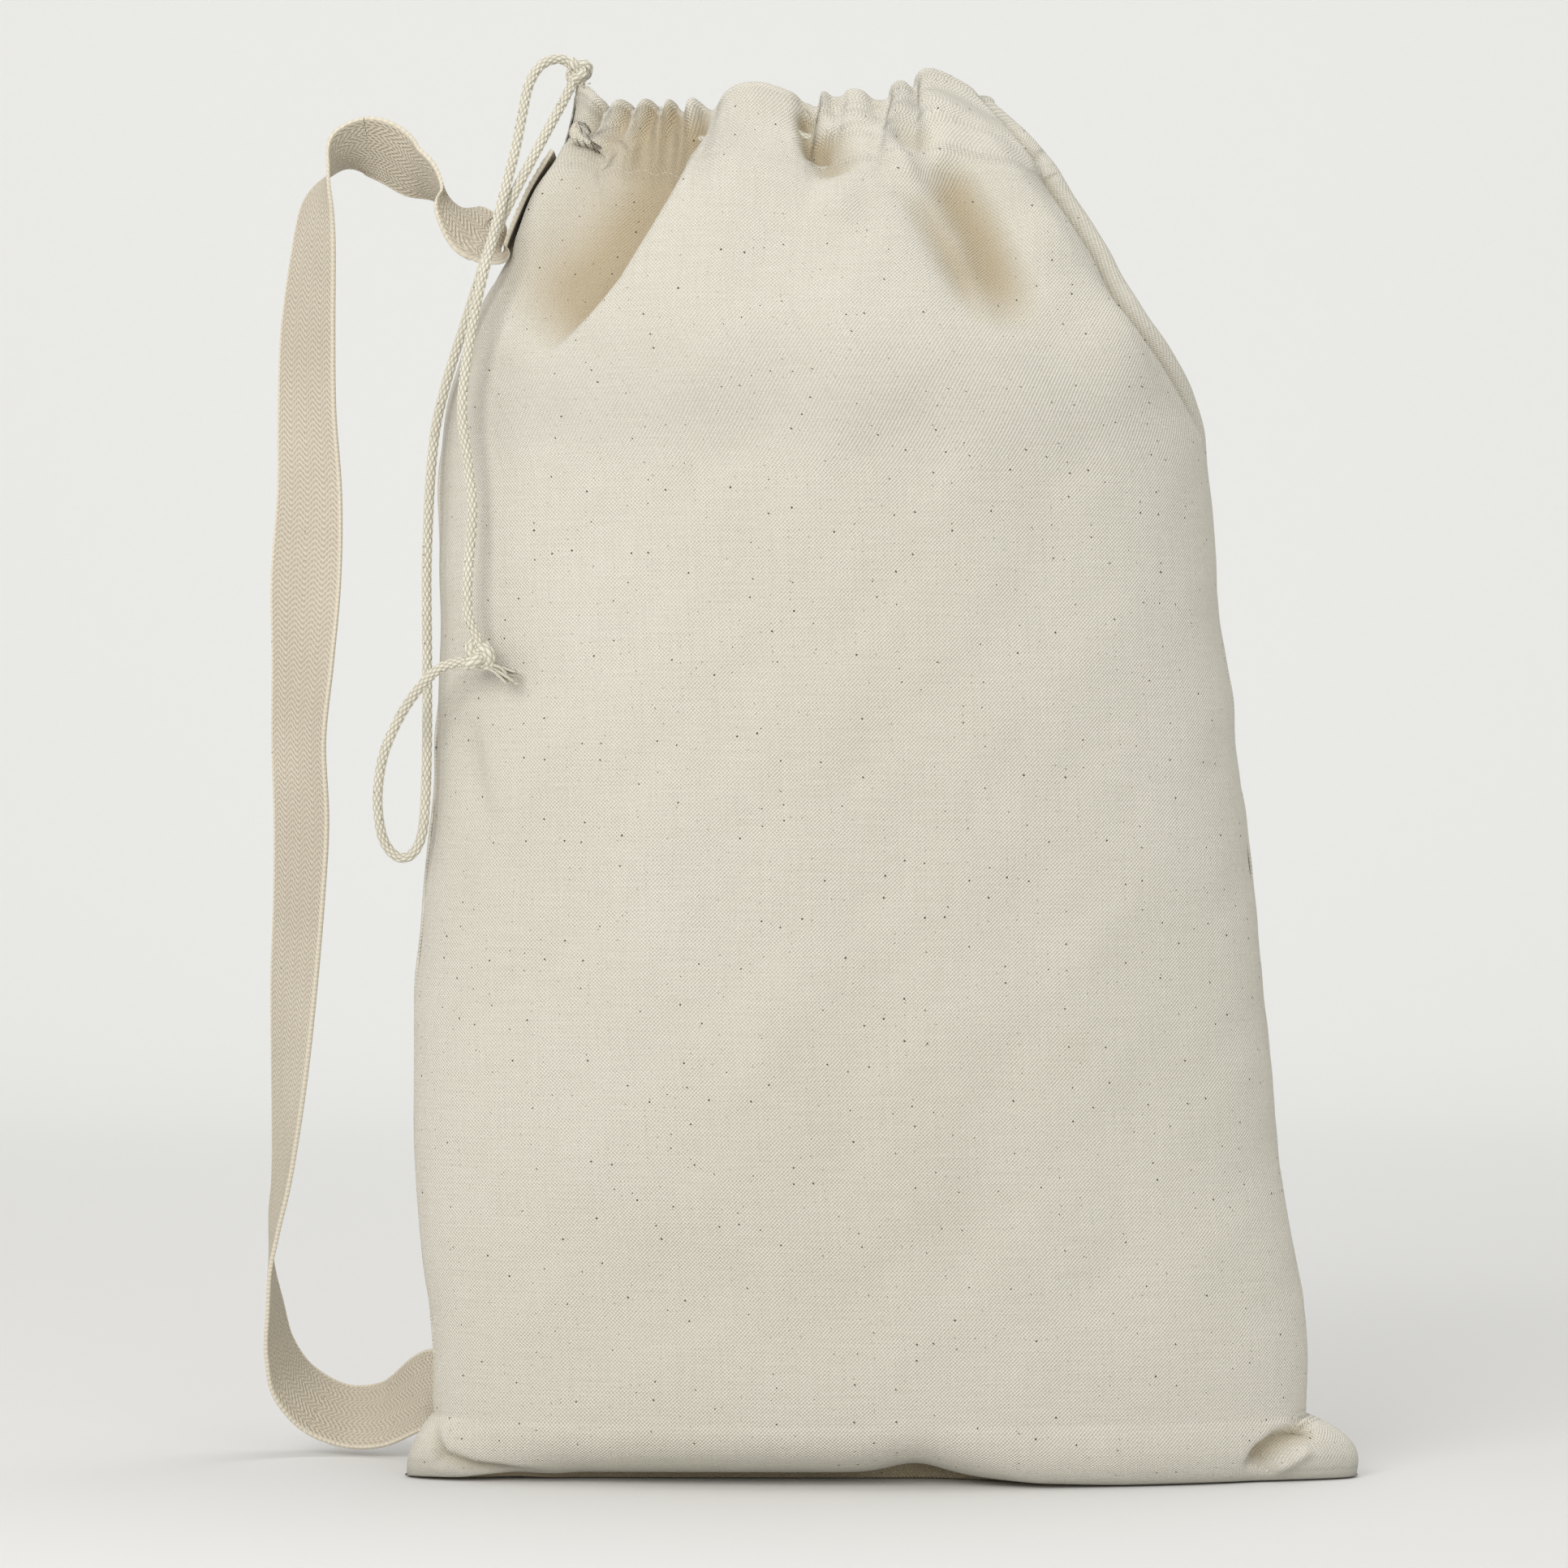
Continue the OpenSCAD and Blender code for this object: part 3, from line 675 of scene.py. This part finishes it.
# Height of each rim along x, between its notches
FRONT_RIM = smooth_path(MM * np.array([
    [-152, 666], [-142, 664], [-132, 655], [-125, 657], [-113, 657.5], [-102, 657], [-90, 655],
    [-81, 654], [-68, 660], [-56, 661], [-42, 657], [-35, 656], [-28, 658], [-14, 658.5],
    [-3, 657], [8, 662], [18, 664], [28, 670], [38, 668], [52, 654], [62, 644],
]), 4)
BACK_RIM = smooth_path(MM * np.array([
    [-152, 666], [-132, 656], [-107, 659], [-89, 655], [-70, 661], [-50, 656], [-33, 660],
    [-16, 656], [0, 660], [18, 664], [28, 671], [40, 670], [52, 656], [62, 646],
]), 4)
NOTCH = 0.7         # share of a gather's depth that the rim drops by


def ripples(x, z, seed):
    """Slack of the cloth: a few broad waves and finer crumples, in metres."""
    draw = np.random.default_rng(seed)
    total = np.zeros(x.shape)
    for size, amount, count in ((0.16, 0.0013, 5), (0.07, 0.0006, 6), (0.03, 0.00018, 8)):
        for _ in range(count):
            angle, phase = draw.uniform(0, np.pi), draw.uniform(0, 2 * np.pi)
            k = 2 * np.pi / (size * draw.uniform(0.75, 1.3))
            across = x * np.cos(angle) + z * np.sin(angle)
            total += amount / math.sqrt(count) * np.sin(k * across + phase)
    return total


def tucked(x):
    """1 where the front's lower edge is drawn back under the bag, 0 where it bulges out."""
    return ease((x + 0.195) / 0.06) * (1 - ease((x - 0.02) / 0.06))


def lift(x):
    """How far the front's lower edge stands off the floor."""
    small_arch = 4.5 * np.exp(-(((x - 0.018) / 0.016) ** 2))
    right_side = 1.5 * (1 - ease((x - 0.06) / 0.06))
    return MM * (0.5 + 2.0 * tucked(x) + small_arch + right_side)


def rim_height(x, front):
    curve, gathers = (FRONT_RIM, FRONT_GATHERS) if front else (BACK_RIM, BACK_GATHERS)
    z = np.interp(x, curve[:, 0], curve[:, 1])
    for at, depth, wide, _ in gathers:
        z = z - NOTCH * depth * np.exp(-(((x - at) / (1.25 * wide)) ** 2))
    return z


def gathered(x, z, gathers):
    """Height of the short gathers under the rim, with the cloth puffed out between them."""
    below = np.maximum(RIM - z, 0)
    at_rim = x - (x - GATHER_X) * np.clip(below / 0.20, 0, 0.35)
    total = np.zeros(x.shape)
    for at, depth, wide, run in gathers:
        spread = wide * (1 + 1.6 * below / run)
        total -= depth * np.exp(-(((at_rim - at) / spread) ** 2)) * (1 - ease(below / run))
    places = gathers[:, 0]
    for a, b in zip(places, places[1:]):
        middle = np.clip((at_rim - a) / (b - a), 0, 1)
        puff = min(0.0026, 0.2 * (b - a))
        total += puff * np.sin(np.pi * middle) * (1 - ease(below / 0.035))
    return total


def panel_points(front):
    """Grid of one panel: from the bottom seam out across the base, up, and over the rim.

    Also gives the painted shade of each point, from 0 to 1: how deep in a fold it is, full on the base
    under the bag, half over the hem."""
    share = np.linspace(0, 1, COLUMNS)

    def angles(z):
        seam = right_seam(z)
        return share * seam if front else seam + share * (2 * np.pi - seam)

    rows = []
    foot = wall(angles(0.0), np.zeros(COLUMNS))
    raised = lift(foot[:, 0]) if front else 0.5 * lift(-foot[:, 0])
    raised = raised * np.abs(np.sin(angles(0.0))) ** 0.5
    if front:
        foot[:, 1] *= 1 - 0.65 * tucked(foot[:, 0])
    for r in np.linspace(0.02, 1, BASE_ROWS):
        row = foot.copy()
        row[:, 1] *= r
        row[:, 2] = CLEAR + raised * ease((r - 0.55) / 0.12)
        rows.append(row)
    hip = wall(angles(CURL_Z), np.full(COLUMNS, CURL_Z))
    for a in np.linspace(0, np.pi / 2, 30)[1:]:
        row = foot + (hip - foot) * np.sin(a)
        z = raised + (CURL_Z - raised) * (1 - np.cos(a))
        tip = wall(angles(CURL_Z), z)
        row[:, 0] = np.where(np.abs(np.cos(angles(CURL_Z))) > 0.8, tip[:, 0], row[:, 0])
        row[:, 2] = z + CLEAR
        rows.append(row)
    for z in np.linspace(CURL_Z, RIM, WALL_ROWS)[1:]:
        q = angles(z)
        flat = wall(q, np.full(COLUMNS, z))
        rise = (rim_height(flat[:, 0], front) - FOLD_R - RIM) * ease((z - 0.60) / (RIM - 0.60))
        rows.append(wall(q, z + rise))
    grid = np.array(rows)
    normal = unit(np.cross(np.gradient(grid, axis=1), np.gradient(grid, axis=0)))
    x, z = grid[..., 0], grid[..., 2]

    dents = gathered(x, z, FRONT_GATHERS if front else BACK_GATHERS)
    for line in FRONT_FOLDS if front else BACK_FOLDS:
        dents = dents + fold(x, z, *line)
    dents = np.where(dents < 0, -DEEPEST * np.tanh(-dents / DEEPEST), dents)
    # folds die out towards the seams
    s = np.linspace(-1, 1, COLUMNS)[None, :]
    near_right, near_left = (s, -s) if front else (-s, s)
    high = ease((z - 0.03) / 0.04)
    for near in (near_right, near_left):
        dents = dents * (1 - high * ease((near - 0.95) / 0.05))
    dents = dents * (1 - ease((np.abs(s) - 0.985) / 0.015))

    # each seam draws the cloth in, and the back bulges past the right one at the shoulder
    left_edge, right_edge = (grid[:, :1], grid[:, -1:]) if front else (grid[:, -1:], grid[:, :1])
    to_left = np.linalg.norm(grid - left_edge, axis=-1)
    to_right = np.linalg.norm(grid - right_edge, axis=-1)
    drawn = np.exp(-((to_left / 0.004) ** 2)) + np.exp(-((to_right / 0.004) ** 2))
    slack = ripples(x, z, 3 if front else 11) * ease((z - 0.02) / 0.06)
    height = dents - 0.0016 * drawn * high + slack
    shoulder = ease((z - 0.47) / 0.05) * (1 - 0.5 * ease((z - 0.63) / 0.03))
    if not front:
        trough = shoulder * np.exp(-(((to_right - 0.0045) / 0.004) ** 2))
        bulge = shoulder * np.exp(-(((to_right - 0.014) / 0.006) ** 2))
        height = height - 0.0060 * trough + 0.003 * bulge
        # the back's shoulder trough gets painted shade as well
        dents = dents - 0.0060 * trough
    grid = grid + normal * height[..., None]
    # the cloth stands up along the right shoulder's seam
    crest = np.exp(-((to_right / (0.014 if front else 0.006)) ** 2)) * shoulder
    outward = unit((right_edge - (GATHER_X, 0, 0)) * (1, 1, 0))
    grid = grid + 0.0018 * crest[..., None] * (outward + (0, -0.4, 0))
    grid[..., 2] = np.maximum(grid[..., 2], 0.0003)
    # painted shade: the deeper the fold, the darker and warmer the cloth is painted
    painted_shade = np.clip((-dents - PAINTED_SHADE_FROM) / PAINTED_SHADE_SPAN, 0, 1)

    # over the rim and down the inside of the tunnel
    top = grid[-1]
    q = angles(RIM)
    left, right = edges(RIM)
    ellipse = [np.cos(q) * 2 / (right - left), np.sin(q) / half_depth(RIM), 0 * q]
    inward = unit(np.column_stack(ellipse))
    over = [
        top + inward * FOLD_R * (1 - np.cos(a)) + np.array([0, 0, 1]) * FOLD_R * np.sin(a)
        for a in np.linspace(0, np.pi, 11)[1:]
    ]
    for t in np.linspace(0, 1, 16)[1:]:
        index = -1 - int(round(t * HEM / ROW_STEP))
        inset = 2 * FOLD_R + (CLOTH * 1.6 - 2 * FOLD_R) * ease((t - 0.55) / 0.45)
        over.append(grid[index] + inward * inset)
    over = np.array(over)
    # painted shade: the base, under the bag, is painted in full shade
    painted_shade[:BASE_ROWS - 1] = 1
    # painted shade: the hem over the rim and down the inside gets half the painted shade of the rim
    inside = np.broadcast_to(0.5 * painted_shade[-1], over.shape[:2])
    return np.concatenate([grid, over]), np.concatenate([painted_shade, inside]), len(grid)


def flat_uv(grid):
    """Place of each point on the flat cloth, measured from the middle column."""
    middle = grid.shape[1] // 2
    steps = np.linalg.norm(np.diff(grid, axis=1), axis=-1)
    u = np.concatenate([np.zeros((len(grid), 1)), np.cumsum(steps, axis=1)], axis=1)
    u = u - u[:, middle:middle + 1]
    v = along(grid[:, middle])[:, None] + 0 * u
    return np.stack([u, v], axis=-1)


def on_bag(piece, slot, *nodes):
    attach(piece, "bag")
    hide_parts(*nodes)


def make_panel(name, front, nodes):
    """One cloth panel with its turned-down hem. Gives its outside as a grid of points."""
    grid, painted_shade, outside = panel_points(front)
    mesh = grid_mesh(name, grid, flat_uv(grid))
    # the painted shade goes to the canvas as a mesh attribute
    mesh.attributes.new("painted_shade", "FLOAT", "POINT").data.foreach_set("value", painted_shade.ravel())
    panel = add_object(name, mesh, CANVAS)
    thick = panel.modifiers.new("cloth", "SOLIDIFY")
    thick.thickness = CLOTH
    thick.offset = -1
    on_bag(panel, "canvas", *nodes)
    return grid[:outside]


front_grid = make_panel("front_cloth", True, ["front_panel", "front_casing"])
back_grid = make_panel("back_cloth", False, ["back_panel", "back_casing"])

# ---- seams, stitching and the cord in the tunnel ----

SEAM_W = 0.010


def middle_of(grid, other):
    """For each row of both panels, the point in the middle of the bag."""
    return (grid.mean(axis=1) + other.mean(axis=1)) / 2


def row_normal(grid, row):
    """Outward direction of the cloth at each point of that row."""
    along_row = np.gradient(grid, axis=1)[row]
    return unit(np.cross(along_row, np.gradient(grid, axis=0)[row]))


def make_side_seam(name, column, node):
    """Both allowances of a side seam, turned inside, as one band."""
    z = front_grid[:, column, 2]
    rows = np.flatnonzero((z > 0.012) & (z < RIM - HEM))
    rows = rows[rows > BASE_ROWS]
    path = front_grid[rows, column]
    inward = unit((middle_of(front_grid, back_grid)[rows] - path) * (1, 1, 0))
    band = strip(name, path + inward * 0.001, inward, SEAM_W, 0.002, CANVAS)
    on_bag(band, "canvas", node)


def make_bottom_seam():
    """The bottom seam's allowances, folded flat on the base inside the bag."""
    x = np.linspace(-0.212, 0.212, 60)
    path = np.column_stack([x, 0 * x + 0.001, 0 * x + 0.0028])
    inward = np.broadcast_to((0.0, 1.0, 0.0), path.shape)
    band = strip("bottom_seam_band", path, inward, SEAM_W, 0.0016, CANVAS)
    on_bag(band, "canvas", "bottom_seam")


def make_hem_stitching():
    """Lockstitches along the hem's lower edge, in front and behind."""
    row = -1 - int(round((HEM - 0.003) / ROW_STEP))
    made = []
    for name, grid in (("front", front_grid), ("back", back_grid)):
        out = row_normal(grid, row)
        made.append(stitches(name + "_hem_thread", grid[row], out, 0.0026, 0.0034, 0.00022, THREAD))
    on_bag(join_meshes("hem_stitches", made), "thread", "casing_stitching")


def make_tunnel_cord():
    """The rest of the drawstring, round the inside of the tunnel."""
    row = -8
    ring = []
    for grid in (front_grid, back_grid):
        ring.append((grid[row] - row_normal(grid, row) * FOLD_R)[12:-12:3])
    path = np.concatenate(ring)
    weights = np.ones(5) / 5
    path = np.column_stack([np.convolve(path[:, k], weights, "valid") for k in range(3)])
    cord = tube("tunnel_cord", evenly(path, 0.0015), 0.0019, CORD, sides=12)
    on_bag(cord, "cord", "casing_cord")


def make_bartacks():
    """Short dark tacks round the opening that the cord leaves by."""
    made = []
    for k, (dx, dz, lean) in enumerate((
        (1.0, -5.5, 0.3), (2.4, -4.6, -0.2), (3.6, -6.6, 0.4),
        (4.6, -3.4, 0.1), (3.0, -9.0, -0.3), (5.6, -7.4, 0.2),
    )):
        at = EXIT + MM * np.array([dx, -8.6, dz])
        run = np.linspace(-1, 1, 5)[:, None] * MM * np.array([0.9, 0, lean])
        out = np.broadcast_to((0.0, -1.0, 0.0), (5, 3))
        made.append(stitches(f"tack_{k}", at + run, out, 0.0017, 1, 0.0006, TACK_THREAD))
    on_bag(join_meshes("exit_tacks", made), "thread", "exit_bartacks")


make_side_seam("left_seam_band", 0, "left_side_seam")
make_side_seam("right_seam_band", -1, "right_side_seam")
make_bottom_seam()
make_hem_stitching()
make_tunnel_cord()
make_bartacks()

# ---- shoulder strap ----

STRAP_W, STRAP_T = 0.038, 0.002
# Stations of the strap's middle line (mm), and how far its width leans from straight ahead
STRAP_STATIONS = np.array([
    [-192.3, -3, 595.2, -45], [-200.1, -2, 604.2, -30], [-204.9, 0, 610.6, 0], [-214.0, 2, 620.2, 20],
    [-223.8, 4, 625.8, 35], [-233.7, 6, 633.1, 42], [-243.6, 8, 636.1, 42], [-253.4, 9, 634.2, 30],
    [-261.3, 10, 626.5, 0], [-268.4, 11, 610.3, -26], [-270.8, 12, 587.0, -37], [-273.7, 14, 548.2, -47],
    [-274.3, 16, 509.3, -51], [-273.3, 18, 470.3, -59], [-275.1, 20, 431.3, -67], [-276.9, 23, 392.2, -56],
    [-279.3, 27, 353.1, -47], [-278.4, 31, 313.8, -48], [-280.1, 36, 274.4, -44], [-283.0, 42, 234.8, -40],
    [-285.6, 48, 195.0, -32], [-289.1, 56, 154.9, -22], [-291.5, 60, 134.7, -17], [-295.1, 65, 114.4, -12],
    [-297.2, 70, 94.1, -4], [-296.1, 75, 73.6, 5], [-294.2, 80, 53.1, 15], [-287.8, 84, 35.8, 30],
    [-274.8, 87, 23.4, 42], [-259.0, 86, 18.3, 45], [-241.2, 78, 20.9, 47],
])
# The sewn upper end down the left seam, and its turn out to the first station
TOP_SEWN = [[-154.6, 0, 632], [-164.4, 0, 616], [-170.6, 0, 603], [-175.2, 0, 592]]
TOP_TURN = [[-177.4, 0, 586.0], [-179.8, -0.4, 584.4], [-182.8, -1.2, 586.8], [-187.0, -2.4, 591.4]]
TOP_TURN_LEAN = [0, -12, -28, -40]
# The sewn lower end goes round the back of the left seam at this height
LOW_SEWN_Z = 0.038
LOW_SEWN_Q = (-45, -25)
LOW_TURN = [[-221.5, 58, 34], [-212.0, 46, 37], [-204.5, 35, 38], [-198.5, 28, 38]]
BEGIN, END = 7, 29   # the swinging part lies between these stations


def station_widths(stations):
    """Directions of the strap's width at its stations."""
    run = unit(np.gradient(stations[:, :3], axis=0) * (1, 0, 1))
    lean = np.radians(stations[:, 3])[:, None]
    inward = np.column_stack([-run[:, 2], 0 * lean[:, 0], run[:, 0]])
    return np.cos(lean) * np.array([0, 1, 0]) + np.sin(lean) * inward


def low_sewn_path():
    """Middle line of the sewn lower end, from its free side to its cut end."""
    q = np.radians(np.linspace(LOW_SEWN_Q[1], LOW_SEWN_Q[0], 5))
    low = wall(q, np.full(5, LOW_SEWN_Z))
    return low + unit(low * (1, 3, 0)) * (STRAP_T / 2 + 0.0012)


def make_strap():
    """The strap in three lengths that meet: it leaves the bag, swings, and comes back."""
    turn = [[*p, lean] for p, lean in zip(TOP_TURN, TOP_TURN_LEAN)]
    stations = np.array(turn + STRAP_STATIONS.tolist())
    widths = station_widths(stations)
    widths[0] = (0, 1, 0)
    low = low_sewn_path()
    points = np.vstack([MM * np.array(TOP_SEWN), MM * stations[:, :3], MM * np.array(LOW_TURN), low])
    turning = np.array([[-0.36, 0.6, 0.72], [-0.2, 0.3, 0.95], [0, 0.1, 1], [0, 0, 1]])
    widths = np.vstack([np.tile((0, 1, 0), (4, 1)), widths, turning, np.tile((0, 0, 1), (5, 1))])
    path, width = smooth_path(points, 8), smooth_path(widths, 8)
    begin, end = (4 + len(TOP_TURN) + k - 1 for k in (BEGIN, END))
    begin, end = begin * 8, end * 8
    made = []
    for name, part, node in (
        ("strap_upper_length", slice(0, begin + 1), "strap_top_end"),
        ("strap_length", slice(begin, end + 1), "strap"),
        ("strap_lower_length", slice(end, None), "strap_bottom_end"),
    ):
        step = evenly(np.column_stack([path[part], width[part]]), 0.0015)
        band = ribbon(name, step[:, :3], step[:, 3:], STRAP_W, STRAP_T, WEBBING)
        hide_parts(node)
        made.append(band)
    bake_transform(made[0])
    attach(made[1], "strap")
    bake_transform(made[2])


def make_box_stitching(name, centre, across, side, node):
    """A stitched box with a cross in it, on the outer face of a sewn strap end.

    side is the way its outer face looks, roughly."""
    inset = 0.005
    half = STRAP_W / 2 - inset
    s = along(centre)
    far = s[-1] - inset
    corners = np.array([
        [inset, -half], [inset, half], [far, half], [far, -half],
        [inset, -half], [far, half], [inset, half], [far, -half],
    ])
    flat = evenly(corners, 0.001)
    run = unit(np.gradient(centre, axis=0))
    out = unit(np.cross(run, across))
    out = out * np.sign(out @ np.asarray(side, float))[:, None]
    at = np.column_stack([np.interp(flat[:, 0], s, centre[:, k]) for k in range(3)])
    lift = np.column_stack([np.interp(flat[:, 0], s, out[:, k]) for k in range(3)])
    path = at + flat[:, 1:] * np.asarray(across, float) + lift * (STRAP_T / 2 + 0.0002)
    row = stitches(name, path, lift, 0.0027, 0.0036, 0.0008, THREAD)
    on_bag(row, "thread", node)


make_strap()
make_box_stitching(
    "upper_box_stitches", MM * np.array(TOP_SEWN), (0, 1, 0), (-1, 0, 0.3), "strap_top_stitching"
)
make_box_stitching(
    "lower_box_stitches", low_sewn_path()[::-1], (0, 0, 1), (-1, 1, 0), "strap_bottom_stitching"
)

# ---- stage and light ----

PAPER_NEAR, PAPER_FAR = (0.72, 0.715, 0.70), (0.78, 0.78, 0.765)
BEND = 1.2           # radius of the paper's curve


def stage_material():
    """Matt paper, darker under the bag than behind it, where lamps of its own light it."""
    n = Nodes("paper", 0.95)
    grain = n.noise(n.place(), 300.0)
    y = n.split(n.place())[1]
    behind = n.ramp(y, 0.15, 2.8, 0.0, 1.0)
    tone = n.mix(behind, PAPER_NEAR, PAPER_FAR)
    tone = n.mix(n.ramp(grain, 0.4, 0.6, 0.0, 0.03), tone, (0.62, 0.61, 0.59))
    glow = n.math("MULTIPLY", behind, 0.16)
    n.link(n.mix(glow, (0, 0, 0), (1, 1, 0.98)), n.shader.inputs["Emission Color"])
    n.shader.inputs["Emission Strength"].default_value = 1
    return n.finish(tone, grain, 0.00005)


def make_stage():
    """A sheet of paper that curves up behind the bag."""
    width, near, far, high = 6.0, -4.0, 2.4, 4.0
    turn = np.linspace(0, np.pi / 2, 48)
    profile = [(near, 0.0)] + [(far + BEND * np.sin(a), BEND * (1 - np.cos(a))) for a in turn]
    profile.append((far + BEND, high))
    rows = np.array([[(-width, y, z), (width, y, z)] for y, z in profile]) - (0, 0, 0.0002)
    mesh = grid_mesh("paper", rows, rows[..., :2])
    add_object("paper", mesh, stage_material())


def add_light(name, at, size, power, toward, colour=(1, 1, 1)):
    data = bpy.data.lights.new(name, "AREA")
    data.shape, data.size, data.energy, data.color = "DISK", size, power, colour
    light = bpy.data.objects.new(name, data)
    light.location = at
    direction = np.asarray(toward) - np.asarray(at)
    light.rotation_euler = Vector(direction).to_track_quat("-Z", "Y").to_euler()
    bpy.context.scene.collection.objects.link(light)


def make_world(strength):
    world = bpy.data.worlds.new("studio")
    world.use_nodes = True
    world.node_tree.nodes["Background"].inputs["Color"].default_value = (1, 1, 1, 1)
    world.node_tree.nodes["Background"].inputs["Strength"].default_value = strength
    bpy.context.scene.world = world


make_stage()
make_world(0.60)
add_light("key", (-1.3, -2.5, 1.6), 2.0, 52, (0, 0, 0.35), (1, 0.985, 0.97))
add_light("top", (0.3, 0.1, 2.6), 1.4, 15, (0, 0, 0.3))
add_light("left_fill", (-2.4, -0.4, 0.8), 1.6, 6, (0, 0, 0.3), (1, 0.95, 0.95))
add_light("right_fill", (1.4, -3.0, 0.7), 1.6, 20, (0, 0, 0.35), (0.96, 1, 0.98))
